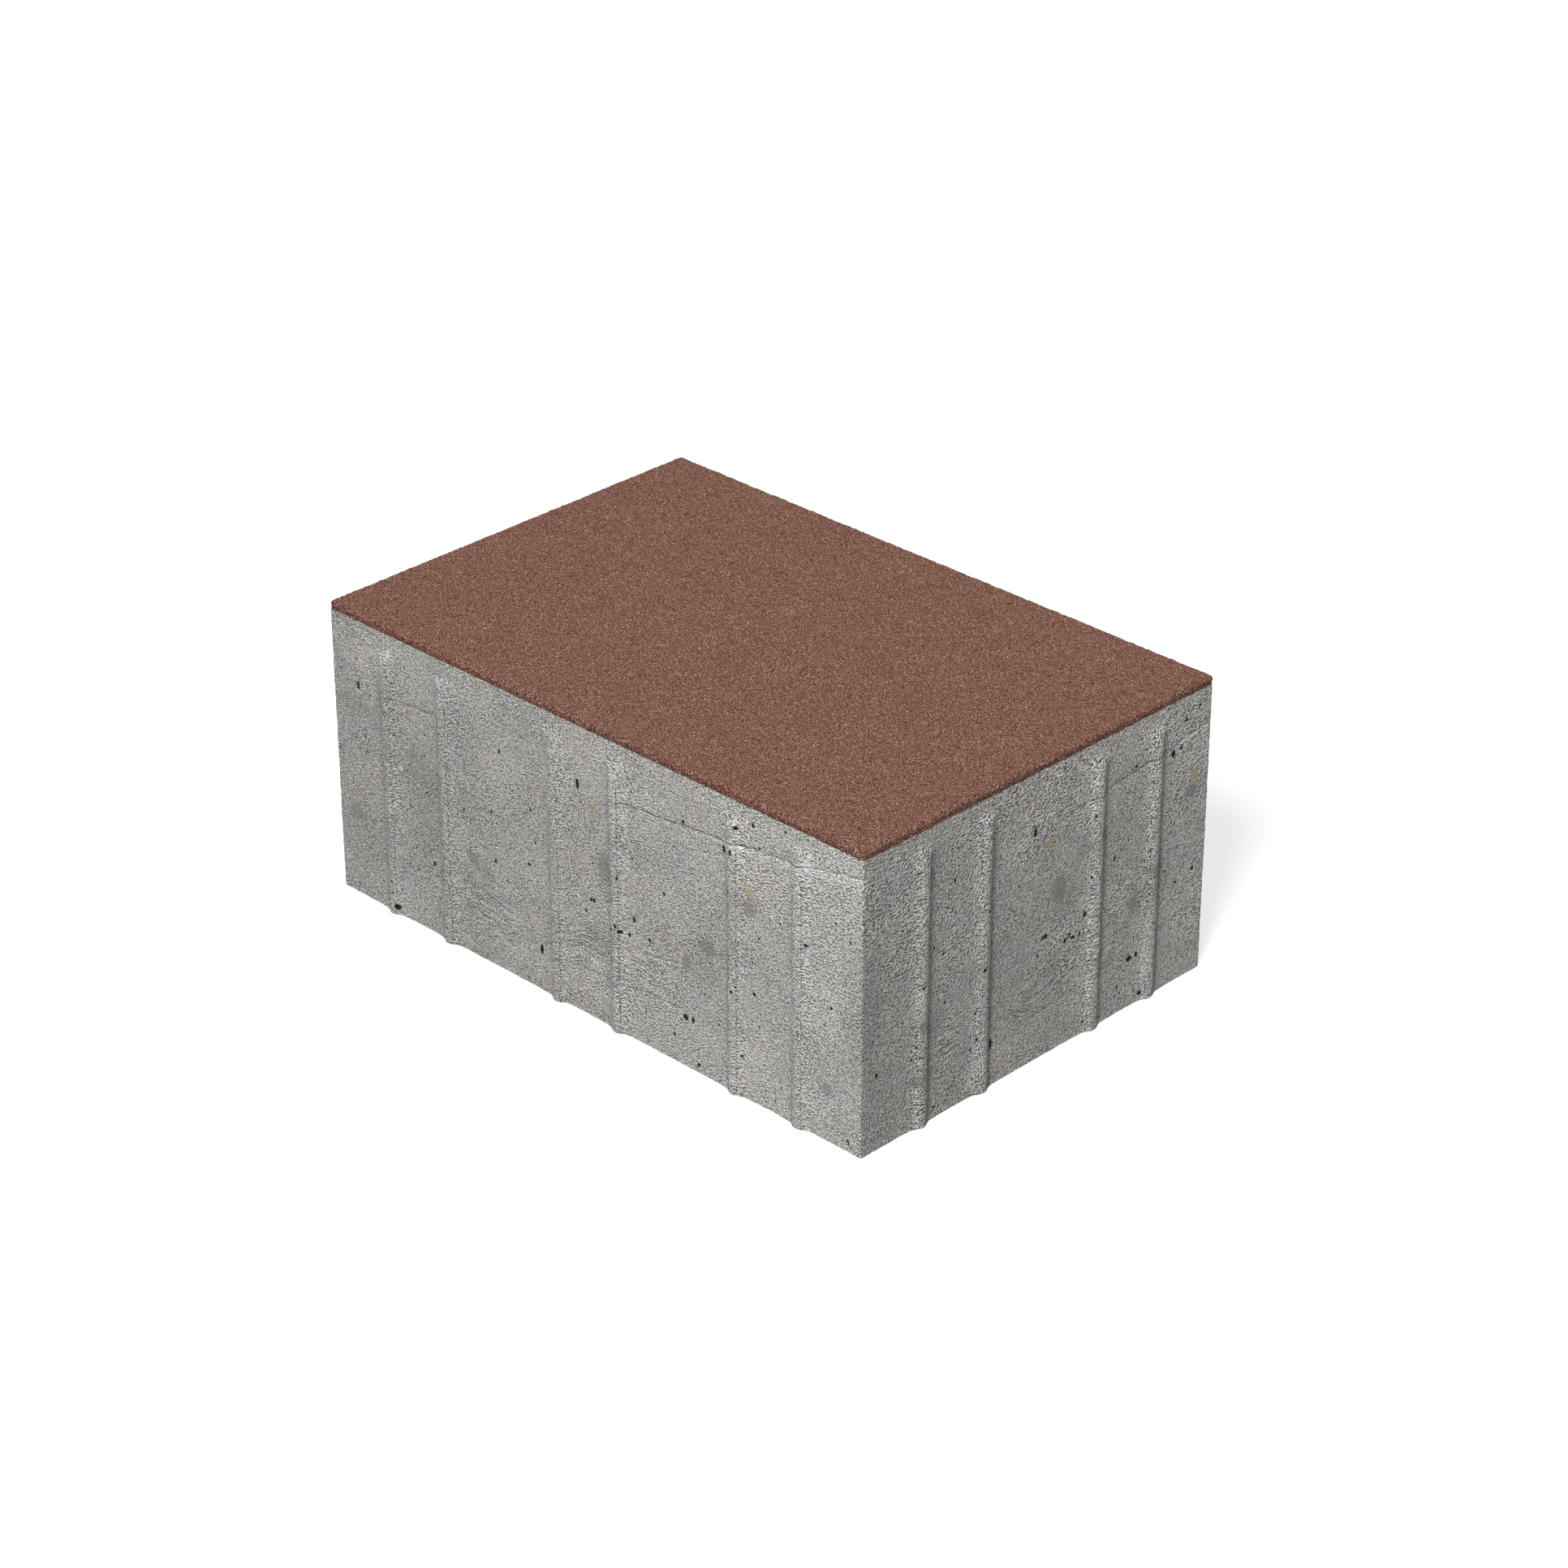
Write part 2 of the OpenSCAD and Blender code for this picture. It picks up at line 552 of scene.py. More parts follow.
        off = wiring.math("DIVIDE", wiring.math("ABSOLUTE", off), given["Crack Reach"])
        groove = wiring.product(wiring.ramp(off, self.GROOVE_FLAT, 1.0, 1.0, 0.0), share)
        for sunk, depth in ((hollow, "Pore Depth"), (groove, "Crack Depth")):
            rise = wiring.math("SUBTRACT", rise, wiring.product(sunk, given[depth]))
        x, y, z = wiring.split(wiring.vector("ADD", place, wiring.scaled(normal, rise)))
        held = wiring.math("MINIMUM", wiring.math("MAXIMUM", z, given["Lowest"]), given["Highest"])
        feeds = {"Geometry": given["Geometry"], "Position": wiring.joined(x, y, held)}
        rough = wiring.node("GeometryNodeSetPosition", feeds)
        self._close(wiring, out, rough.outputs[0], given["Material"])
        return wiring.tree


class ShaderGroups:
    """Shader groups that both concretes use. Each is built once and set by its named inputs."""

    FLOAT = "NodeSocketFloat"
    PLACE = ("NodeSocketVector", None)
    GRAIN_TURN = (0.62, 0.41, 0.93)
    DRAG_STRETCH = (0.5, 0.5, 1.0)
    PATCH_SHARE = 0.4
    MOTTLE_RANGE = (0.3, 0.7)
    SPECK_SPREAD = 0.6
    SPECK_CORE = 0.7

    def __init__(self) -> None:
        """Builds the groups."""
        self.grain = self._grain()
        self.mottle = self._mottle()
        self.specks = self._specks()

    def _started(
        self, name: str, inputs: tuple[str, ...], *outputs: str
    ) -> tuple[Wiring, dict[str, Socket], bpy.types.Node]:
        """Starts a group of numbers that vary with the place."""
        sockets = {"Place": self.PLACE} | {label: (self.FLOAT, 1.0) for label in inputs}
        return new_tree(name, "ShaderNodeTree", sockets, {label: self.FLOAT for label in outputs})

    def _grain(self) -> Tree:
        """Builds the sandy grain: crooked ridges with finer grains between them, drawn out level in places.

        Returns:
            The group, which puts out a relief from 0 to 1.
        """
        names = ("Grain Size", "Fine Size", "Fine Share", "Drag Size", "Drag Share")
        wiring, given, out = self._started("Concrete grain", names, "Relief")
        feeds = {"Vector": given["Place"], "Rotation": self.GRAIN_TURN}
        place = wiring.node("ShaderNodeVectorRotate", feeds, rotation_type="EULER_XYZ").outputs[0]
        coarse = wiring.noise(place, given["Grain Size"], detail=0.0)
        fine = wiring.noise(place, given["Fine Size"], detail=0.0)
        sandy = wiring.between(given["Fine Share"], coarse, fine)
        level = wiring.vector("MULTIPLY", given["Place"], self.DRAG_STRETCH)
        drawn = wiring.noise(level, given["Drag Size"], detail=0.0)
        wiring.feed(out.inputs["Relief"], wiring.between(given["Drag Share"], sandy, drawn))
        return wiring.tree

    def _mottle(self) -> Tree:
        """Builds soft clouds with smaller patches in them.

        Returns:
            The group, which puts out a tone from 0 to 1.
        """
        wiring, given, out = self._started("Soft mottle", ("Cloud Size", "Patch Size"), "Tone")
        clouds = wiring.noise(given["Place"], given["Cloud Size"])
        patches = wiring.noise(given["Place"], given["Patch Size"])
        both = wiring.between(self.PATCH_SHARE, clouds, patches)
        wiring.feed(out.inputs["Tone"], wiring.ramp(both, *self.MOTTLE_RANGE))
        return wiring.tree

    def _specks(self) -> Tree:
        """Builds scattered specks, one at most in each cell.

        Returns:
            The group, which puts out a mask and a random number for each speck.
        """
        names = ("Cell Size", "Share", "Radius", "Height Share")
        wiring, given, out = self._started("Specks", names, "Mask", "Pick")
        squash = wiring.joined(1.0, 1.0, wiring.math("DIVIDE", 1.0, given["Height Share"]))
        place = wiring.vector("MULTIPLY", given["Place"], squash)
        feeds = {"Vector": place, "Scale": wiring.math("DIVIDE", 1.0, given["Cell Size"])}
        cells = wiring.node("ShaderNodeTexVoronoi", feeds, feature="F1", voronoi_dimensions="3D")
        chance, pick, size = wiring.split(cells.outputs["Color"])
        chosen = wiring.math("LESS_THAN", chance, given["Share"])
        spread = wiring.math("MULTIPLY_ADD", size, self.SPECK_SPREAD, self.SPECK_SPREAD)
        reach = wiring.product(given["Radius"], spread)
        off = wiring.math("DIVIDE", cells.outputs["Distance"], reach)
        mask = wiring.product(wiring.ramp(off, self.SPECK_CORE, 1.0, 1.0, 0.0), chosen)
        wiring.feed(out.inputs["Mask"], mask)
        wiring.feed(out.inputs["Pick"], pick)
        return wiring.tree


@dataclass(frozen=True)
class Grain:
    """Inputs of the sandy grain: sizes in metres, and the share of the fine grains."""

    grain_size: float
    fine_size: float
    fine_share: float
    drag_size: float = 0.37 * MM


@dataclass(frozen=True)
class PaintedFlankLight:
    """Painted light and shade on the grains: flanks that face the step are painted paler and the far flanks
    darker. Holds the step in metres, how strong the painted light is, and the tone's range.
    """

    step: Coords
    gain: float
    tone_range: Span = (0.34, 0.66)


@dataclass(frozen=True)
class Mottle:
    """Inputs of a soft mottle, in metres."""

    cloud_size: float
    patch_size: float


@dataclass(frozen=True)
class Specks:
    """Inputs of scattered specks: the cell in metres, the share of cells with one, and its form."""

    cell_size: float
    share: float
    radius: float
    height_share: float = 1.0


@dataclass(frozen=True)
class Zone:
    """Soft zones of a noise: its size in metres, its finer layers, and the range in which a zone fills."""

    size: float
    detail: float
    fill: Span


@dataclass(frozen=True)
class Paint:
    """Colour of one kind of spot, how much of it shows, and how far in from the rim it fades."""

    colour: Colour
    share: float
    fade: float = 0.35


class FinishWiring(Wiring):
    """Wiring of one material: a rough shader, Object coordinates and the shared groups."""

    def __init__(self, name: str, roughness: float, specular: float) -> None:
        """Starts a material.

        Args:
            name: The material's name.
            roughness: Roughness of the surface.
            specular: Specular level of the surface.
        """
        self.material = bpy.data.materials.new(name)
        super().__init__(cleared(self.material))
        feeds = {"Roughness": roughness, "Specular IOR Level": specular}
        self.shader = self.node("ShaderNodeBsdfPrincipled", feeds)
        self.node("ShaderNodeOutputMaterial", {"Surface": self.shader.outputs["BSDF"]})
        self.place = self.node("ShaderNodeTexCoord").outputs["Object"]
        self.along, _, self.height = self.split(self.place)

    def group(self, tree: Tree, **values: Feed) -> bpy.types.bpy_prop_collection:
        """Places a shared group, at the Object coordinates where no other place is given."""
        return self.node("ShaderNodeGroup", titled({"place": self.place} | values), node_tree=tree).outputs

    def grain(self, tree: Tree, grain: Grain, dust: PaintedFlankLight, drag_share: Feed) -> tuple[Socket, Socket]:
        """Lays the sandy grain, with painted light on one flank of its grains and painted shade on the
        other.

        Args:
            tree: The grain group.
            grain: The grain.
            dust: The painted light and shade on the grains' flanks.
            drag_share: How much of the grain is drawn out level.

        Returns:
            The grain's tone, with its painted light and shade, and its relief, both from 0 to 1.
        """
        values = asdict(grain) | {"drag_share": drag_share}
        relief = self.group(tree, **values)["Relief"]
        # Painted light: the relief one step towards the key lamp paints the lit flanks paler and the far
        # flanks darker
        beside = self.group(tree, place=self.vector("ADD", self.place, dust.step), **values)["Relief"]
        slope = self.math("SUBTRACT", relief, beside)
        return self.ramp(self.math("MULTIPLY_ADD", slope, dust.gain, relief), *dust.tone_range), relief

    def zone(self, zone: Zone, low: float = 0.0, high: float = 1.0) -> Socket:
        """Lays soft zones, with a low number outside them and a high one inside."""
        return self.ramp(self.noise(self.place, zone.size, zone.detail), *zone.fill, low, high)

    def mark(self, kind: Mark) -> Socket:
        """Reads a mark's stored number."""
        return self.node("ShaderNodeAttribute", attribute_name=kind.value).outputs["Fac"]

    def gained(self, tone: Feed, mask: Feed, gain: float) -> Socket:
        """Changes a tone by a share of itself where a mask lies."""
        return self.product(tone, self.math("MULTIPLY_ADD", mask, gain, 1.0))

    def finished(self, colour: Feed, height: Feed, depth: float) -> bpy.types.Material:
        """Gives the shader its colour and its bump.

        Args:
            colour: The colour.
            height: Height from 0 to 1.
            depth: What a height of 1 stands for, in metres.

        Returns:
            The finished material.
        """
        bump = self.node("ShaderNodeBump", {"Height": height, "Distance": depth, "Strength": 1.0})
        self.feed(self.shader.inputs["Base Color"], colour)
        self.feed(self.shader.inputs["Normal"], bump.outputs["Normal"])
        return self.material


@dataclass(frozen=True)
class CoreConcrete:
    """Rough grey concrete with crooked grain, pits, stains and fine cracks. Lengths are in metres."""

    cool: Colour = (0.327, 0.324, 0.317)
    warm: Colour = (0.349, 0.334, 0.305)
    # Painted shade: near black for the pores and pits, where shade falls in them
    hollow: Colour = (0.020, 0.019, 0.017)
    # Painted shade along the cracks
    crack: Colour = (0.085, 0.083, 0.078)
    ochre: Colour = (0.40, 0.31, 0.19)
    blotch: Paint = Paint((0.205, 0.199, 0.186), 0.65, 0.6)
    stain: Paint = Paint((0.36, 0.30, 0.13), 0.65)
    pale: Paint = Paint((0.56, 0.565, 0.58), 0.95)
    rust: Paint = Paint((0.40, 0.17, 0.10), 0.8)
    roughness: float = 0.92
    specular: float = 0.12

    grain: Grain = Grain(0.43 * MM, 0.28 * MM, 0.45)
    # Painted light and shade on the grain flanks, stepped roughly towards the key lamp
    dust: PaintedFlankLight = PaintedFlankLight((0.03 * MM, -0.08 * MM, 0.10 * MM), 1.2)
    drag_zone: Zone = Zone(24 * MM, 1.0, (0.40, 0.64))
    drag_share: float = 0.5
    rough_zone: Zone = Zone(16 * MM, 2.0, (0.34, 0.56))
    smooth_share: float = 0.80
    # Grain tone: partly the concrete's own, partly painted shade in the grain's hollows and painted light
    # on its crests
    grain_swing: float = 0.57
    # Painted grazing light: the grain tone swings harder on the two short walls
    end_swing: float = 0.71
    end_range: Span = (88.6 * MM, 89.4 * MM)

    clouds: Mottle = Mottle(13 * MM, 5 * MM)
    cloud_swing: float = 0.05
    hues: Mottle = Mottle(9 * MM, 2.2 * MM)
    run_slope: float = 1.3
    top_range: Span = (40 * MM, 72 * MM)
    top_lift: float = 0.07
    foot_range: Span = (10 * MM, 20 * MM)
    foot_lift: float = 0.03

    patch_edge_size: float = 5 * MM
    patch_edge: float = 0.6
    patch_fade: float = 0.8
    shade_depth: float = 0.15
    gleam_gain: float = 0.14

    sag_size: float = 14 * MM
    sag: float = 4 * MM
    ripple_stretch: Coords = (0.16, 0.16, 1.0)
    ripple_size: float = 0.9 * MM
    ripple_range: Span = (0.36, 0.64)
    ripple_fade: float = 0.6
    ripple_swing: float = 0.16
    ripple_rise: float = 0.15

    # Painted highlight on the lip under the right part of the long crack
    lip_reach: Span = (-3.2 * MM, -0.6 * MM)
    lip_edge: Span = (-0.25 * MM, 0.0)
    lip_run: Span = (44 * MM, 52 * MM)
    lip_height: Span = (60 * MM, 63 * MM)
    lip_gain: float = 0.22

    pits: Specks = Specks(2.2 * MM, 0.34, 0.13, 1.5)
    pit_depth: float = 0.6
    sand: Specks = Specks(1.3 * MM, 0.14, 0.24)
    sand_share: float = 0.5
    ochre_from: float = 0.55
    ragged_reach: float = 0.8
    fleck_size: float = 1.1 * MM
    fleck_reach: float = 2.0
    spot_edge: float = 0.5
    pore_edge: float = 0.3
    pore_rim: Span = (-0.18, 0.12)

    line_stray: float = 0.15 * MM
    line_width: Span = (0.05 * MM, 0.28 * MM)
    line_breaks: Zone = Zone(3.5 * MM, 2.0, (0.28, 0.5))
    line_depth: float = 0.3

    crest_edge: Span = (1.25 * MM, 1.55 * MM)
    crest_step: float = 0.48 * MM
    nose_range: Span = (64 * MM, 72 * MM)
    bump_depth: float = 1.0 * MM

    def material(self, groups: ShaderGroups) -> bpy.types.Material:
        """Builds the material.

        Args:
            groups: The shared groups.

        Returns:
            The material.
        """
        wiring = FinishWiring("core_concrete", self.roughness, self.specular)
        drag = wiring.zone(self.drag_zone, 0.0, self.drag_share)
        grain, relief = wiring.grain(groups.grain, self.grain, self.dust, drag)
        rough = wiring.zone(self.rough_zone, self.smooth_share, 1.0)
        soft = wiring.centred(wiring.noise(wiring.place, self.patch_edge_size), self.patch_edge)
        ripple = self._ripple(wiring, soft)
        line = self._crack_line(wiring, relief)
        pits = wiring.group(groups.specks, **asdict(self.pits))["Mask"]
        clouds = wiring.group(groups.mottle, **asdict(self.clouds))["Tone"]
        # Grain tone with painted shade in its hollows and painted light on its crests, partly the
        # concrete's own
        tone = self._grain_tone(wiring, wiring.product(wiring.centred(grain, 1.0), rough))
        tone = wiring.gained(tone, wiring.centred(clouds, 1.0), self.cloud_swing)
        tone = wiring.gained(self._wall_tone(wiring, tone, soft), ripple, self.ripple_swing)
        hue = wiring.group(groups.mottle, **asdict(self.hues))["Tone"]
        colour = wiring.scaled(wiring.mixed(hue, self.cool, self.warm), tone)
        sand = wiring.group(groups.specks, **asdict(self.sand))
        warm_sand = wiring.math("GREATER_THAN", sand["Pick"], self.ochre_from)
        sand_colour = wiring.mixed(warm_sand, self.pale.colour, self.ochre)
        colour = wiring.mixed(wiring.product(sand["Mask"], self.sand_share), colour, sand_colour)
        ragged = wiring.centred(relief, self.ragged_reach)
        # Crack lines painted dark as painted shade in the cracks
        colour = wiring.mixed(line, self._spotted(wiring, colour, ragged), self.crack)
        # Pores and pits are painted near black below, as painted shade in them
        pore = wiring.math("MULTIPLY_ADD", ragged, self.pore_edge, wiring.mark(Mark.PORE))
        sunk = wiring.math("MAXIMUM", wiring.ramp(pore, *self.pore_rim), pits)
        height = wiring.product(relief, rough)
        for mask, rise in (
            (ripple, self.ripple_rise),
            (self._crest(wiring), self.crest_step / self.bump_depth),
            (pits, -self.pit_depth),
            (line, -self.line_depth),
        ):
            height = wiring.math("MULTIPLY_ADD", mask, rise, height)
        return wiring.finished(wiring.mixed(sunk, colour, self.hollow), height, self.bump_depth)

    def _grain_tone(self, wiring: FinishWiring, grain: Feed) -> Socket:
        """Turns the grain into a tone about 1, which swings more on the two short walls as painted grazing
        light.

        Args:
            wiring: The material's wiring.
            grain: The grain, about 0.

        Returns:
            The tone.
        """
        out_along = wiring.math("ABSOLUTE", wiring.along)
        # Painted grazing light: a harder swing of the grain tone on the short walls
        swing = wiring.ramp(out_along, *self.end_range, self.grain_swing, self.end_swing)
        return wiring.math("MULTIPLY_ADD", grain, swing, 1.0)

    def _wall_tone(self, wiring: FinishWiring, tone: Feed, soft: Feed) -> Socket:
        """Lays the wide light and dark of the walls over a tone.

        Args:
            wiring: The material's wiring.
            tone: The tone.
            soft: What makes the edges of patches uneven.

        Returns:
            The changed tone.
        """
        shade_patch, gleam_patch = (
            wiring.ramp(wiring.math("ADD", wiring.mark(kind), soft), 0.0, self.patch_fade)
            for kind in (Mark.SHADE, Mark.GLEAM)
        )
        for mask, gain in (
            (wiring.mark(Mark.RUN), self.run_slope),
            (wiring.ramp(wiring.height, *self.top_range), self.top_lift),
            (wiring.ramp(wiring.height, *self.foot_range, 1.0, 0.0), self.foot_lift),
            (shade_patch, -self.shade_depth),
            (gleam_patch, self.gleam_gain),
            # Painted highlight under the long crack
            (self._lip(wiring), self.lip_gain),
        ):
            tone = wiring.gained(tone, mask, gain)
        return tone

    def _ripple(self, wiring: FinishWiring, soft: Feed) -> Socket:
        """Draws level ripples in patches of the walls.

        Args:
            wiring: The material's wiring.
            soft: What makes the edges of patches uneven.

        Returns:
            The ripples, from -1 to 1.
        """
        sag = wiring.centred(wiring.noise(wiring.place, self.sag_size, detail=1.0), self.sag)
        waved = wiring.vector("ADD", wiring.place, wiring.joined(0.0, 0.0, sag))
        waved = wiring.vector("MULTIPLY", waved, self.ripple_stretch)
        ripple = wiring.noise(waved, self.ripple_size, detail=1.0)
        near = wiring.math("ADD", wiring.mark(Mark.RIPPLE), soft)
        zone = wiring.ramp(near, 0.0, self.ripple_fade)
        return wiring.product(wiring.ramp(ripple, *self.ripple_range, -1.0, 1.0), zone)

    def _lip(self, wiring: FinishWiring) -> Socket:
        """Masks the painted highlight on the lip under the right part of the long crack.

        Args:
            wiring: The material's wiring.

        Returns:
            The mask.
        """
        over_crack = wiring.mark(Mark.CRACK_OFFSET)
        return wiring.product(
            wiring.ramp(over_crack, *self.lip_reach),
            wiring.ramp(over_crack, *self.lip_edge, 1.0, 0.0),
            wiring.ramp(wiring.mark(Mark.RUN), *self.lip_run),
            wiring.ramp(wiring.height, *self.lip_height),
        )

    def _crack_line(self, wiring: FinishWiring, relief: Feed) -> Socket:
        """Masks the thin broken lines of the cracks.

        Args:
            wiring: The material's wiring.
            relief: Relief of the grain, which the lines stray with.

        Returns:
            The mask.
        """
        off = wiring.math("ABSOLUTE", wiring.mark(Mark.CRACK_OFFSET))
        off = wiring.math("ADD", off, wiring.centred(relief, self.line_stray))
        line = wiring.ramp(off, *self.line_width, 1.0, 0.0)
        return wiring.product(line, wiring.zone(self.line_breaks), wiring.mark(Mark.CRACK_SHARE))

    def _spotted(self, wiring: FinishWiring, colour: Feed, ragged: Feed) -> Socket:
        """Paints the blotches, stains, pale spots and rust over a colour.

        Args:
            wiring: The material's wiring.
            colour: The colour.
            ragged: What makes the edges of spots ragged.

        Returns:
            The painted colour.
        """
        noise = wiring.noise(wiring.place, self.fleck_size, detail=1.0)
        flecks = wiring.centred(noise, self.fleck_reach)
        for kind, paint, edge in (
            (Mark.BLOTCH, self.blotch, ragged),
            (Mark.STAIN, self.stain, flecks),
            (Mark.PALE, self.pale, ragged),
            (Mark.RUST, self.rust, ragged),
        ):
            near = wiring.math("MULTIPLY_ADD", edge, self.spot_edge, wiring.mark(kind))
            cover = wiring.product(wiring.ramp(near, 0.0, paint.fade), paint.share)
            colour = wiring.mixed(cover, colour, paint.colour)
        return colour

    def _crest(self, wiring: FinishWiring) -> Socket:
        """Masks the crests of the ribs, up to their noses.

        Args:
            wiring: The material's wiring.

        Returns:
            The mask, with narrow edges.
        """
        off_crest = wiring.math("ABSOLUTE", wiring.mark(Mark.RIB_OFFSET))
        below_nose = wiring.ramp(wiring.height, *self.nose_range, 1.0, 0.0)
        return wiring.product(wiring.ramp(off_crest, *self.crest_edge, 1.0, 0.0), below_nose)


@dataclass(frozen=True)
class FaceConcrete:
    """Rough red-brown face concrete with an even sandy grain. Lengths are in metres."""

    # Ends of the grain's tone: partly the concrete's own colours, partly painted shade in the grain's
    # hollows and painted light on its crests
    hollow: Colour = (0.062, 0.0165, 0.007)
    crest: Colour = (0.335, 0.176, 0.129)
    deep: Colour = (0.072, 0.027, 0.016)
    light: Colour = (0.82, 0.625, 0.53)
    roughness: float = 0.9
    specular: float = 0.1
    grain: Grain = Grain(0.40 * MM, 0.26 * MM, 0.5)
    # Painted light and shade on the grain flanks, stepped roughly towards the key lamp
    dust: PaintedFlankLight = PaintedFlankLight((0.05 * MM, -0.09 * MM, 0.05 * MM), 1.3)
    clouds: Mottle = Mottle(14 * MM, 4 * MM)
    cloud_swing: float = 0.03
    # Painted shade: the layer's sides below the top rim are darker than the top
    side_range: Span = (78.95 * MM, 79.75 * MM)
    side_tone: float = 0.70
    deep_specks: Specks = Specks(0.8 * MM, 0.25, 0.32)
    deep_share: float = 0.6
    deep_sink: float = 0.25
    light_specks: Specks = Specks(0.6 * MM, 0.4, 0.32)
    light_least: float = 0.25
    light_spread: float = 0.7
    bump_depth: float = 0.8 * MM

    def material(self, groups: ShaderGroups) -> bpy.types.Material:
        """Builds the material.

        Args:
            groups: The shared groups.

        Returns:
            The material.
        """
        wiring = FinishWiring("face_concrete", self.roughness, self.specular)
        grain, relief = wiring.grain(groups.grain, self.grain, self.dust, 0.0)
        clouds = wiring.group(groups.mottle, **asdict(self.clouds))["Tone"]
        light = wiring.group(groups.specks, **asdict(self.light_specks))
        deep = wiring.group(groups.specks, **asdict(self.deep_specks))["Mask"]
        # Painted shade on the layer's sides
        side = wiring.ramp(wiring.height, *self.side_range, self.side_tone, 1.0)
        tone = wiring.gained(side, wiring.centred(clouds, 1.0), self.cloud_swing)
        # Grain colour with painted shade in its hollows and painted light on its crests, partly the
        # concrete's own
        colour = wiring.mixed(grain, self.hollow, self.crest)
        colour = wiring.mixed(wiring.product(deep, self.deep_share), colour, self.deep)
        sparkle = wiring.math("MULTIPLY_ADD", light["Pick"], self.light_spread, self.light_least)
        colour = wiring.mixed(wiring.product(light["Mask"], sparkle), colour, self.light)
        height = wiring.math("MULTIPLY_ADD", deep, -self.deep_sink, relief)
        return wiring.finished(wiring.scaled(colour, tone), height, self.bump_depth)


def grid_box(low: Iterable[float], high: Iterable[float], cell: float) -> bmesh.types.BMesh:
    """Makes a closed box whose sides are grids of about square cells.

    Args:
        low: Lowest corner.
        high: Highest corner.
        cell: Size of a cell.

    Returns:
        The box.
    """
    low, high = Vector(low), Vector(high)
    counts = [max(1, round(length / cell)) for length in high - low]
    steps = [length / count for length, count in zip(high - low, counts)]
    bm = bmesh.new()
    corners = {}

    def corner(key: tuple[int, int, int]) -> bmesh.types.BMVert:
        """Finds the corner of a cell, or makes it.

        Args:
            key: Numbers of the corner along the three axes.

        Returns:
            The corner.
        """
        if key not in corners:
            place = [start + number * step for start, number, step in zip(low, key, steps)]
            corners[key] = bm.verts.new(place)
        return corners[key]

    for axis in range(3):
        across, along = (axis + 1) % 3, (axis + 2) % 3
        for level in (0, counts[axis]):
            for a in range(counts[across]):
                for b in range(counts[along]):
                    ring = []
                    for da, db in ((0, 0), (1, 0), (1, 1), (0, 1)):
                        key = {axis: level, across: a + da, along: b + db}
                        ring.append(corner((key[0], key[1], key[2])))
                    bm.faces.new(ring if level else ring[::-1])
    bm.normal_update()
    return bm


def split_faces(bm: bmesh.types.BMesh, wanted: Callable[[bmesh.types.BMFace], bool], cuts: int) -> None:
    """Cuts chosen faces into smaller ones, with their neighbours kept joined to them.

    Args:
        bm: The mesh.
        wanted: Tells whether a face is cut.
        cuts: Number of cuts across each edge.
    """
    edges = {edge for face in bm.faces if wanted(face) for edge in face.edges}
    bmesh.ops.subdivide_edges(bm, edges=list(edges), cuts=cuts, use_grid_fill=True)
    bm.normal_update()


def as_object(bm: bmesh.types.BMesh, name: str) -> bpy.types.Object:
    """Turns a finished mesh into an object at the origin.

    Args:
        bm: The mesh, which is freed.
        name: The object's name.

    Returns:
        The object.
    """
    mesh = bpy.data.meshes.new(name)
    bm.to_mesh(mesh)
    bm.free()
    return placed(name, mesh)


def apply_trees(piece: bpy.types.Object, steps: list[tuple[Tree, dict[str, object]]]) -> None:
    """Runs geometry trees on a piece, one after another, and leaves it a plain mesh.

    Args:
        piece: The piece.
        steps: Each tree with its inputs by name.
    """
    for tree, values in steps:
        modifier = piece.modifiers.new(tree.name, "NODES")
        modifier.node_group = tree
        for item in tree.interface.items_tree:
            if item.item_type == "SOCKET" and item.in_out == "INPUT" and item.name in values:
                modifier[item.identifier] = values[item.name]
    graph = bpy.context.evaluated_depsgraph_get()
    shaped = piece.evaluated_get(graph)
    plain = bpy.data.meshes.new_from_object(shaped, preserve_all_data_layers=True, depsgraph=graph)
    rough = piece.data
    piece.modifiers.clear()
    piece.data = plain
    bpy.data.meshes.remove(rough)
    plain.name = piece.name


def shade(piece: bpy.types.Object, crease: float) -> None:
    """Shades a piece smooth, apart from edges that turn by more than the crease, in degrees."""
    piece.data.shade_smooth()
    piece.data.set_sharp_from_angle(angle=math.radians(crease))


@dataclass(frozen=True)
class Spot:
    """An oval spot on the walls, in millimetres from the middle of a wall and from the bed."""

    run: float
    height: float
    half_width: float
    half_height: float


def spots(*places: tuple[float, float, float, float]) -> tuple[Spot, ...]:
    """Makes spots from their runs, heights, half widths and half heights."""
    return tuple(Spot(*place) for place in places)


@dataclass(frozen=True)
class CrackLine:
    """A crack along the walls, as points in millimetres from the middle of a wall and from the bed."""

    points: tuple[tuple[float, float], ...]
    strength: float


@dataclass(frozen=True)
class Relief:
    """Relief of a skin, with sizes and depths in metres. The rim gain and the pore wall are shares."""

    swell_height: float
    swell_size: float
    grain_height: float
    grain_size: float
    proud: float = 0.0
    rim_gain: float = 0.0
    pore_wall: float = 1.0
    pore_depth: float = 0.0
    crack_reach: float = 1.0
    crack_depth: float = 0.0

    def inputs(self, lowest: float, highest: float) -> dict[str, object]:
        """Names the inputs of the relief tree, for a skin that is held between two heights."""
        return titled(asdict(self) | {"lowest": lowest, "highest": highest})


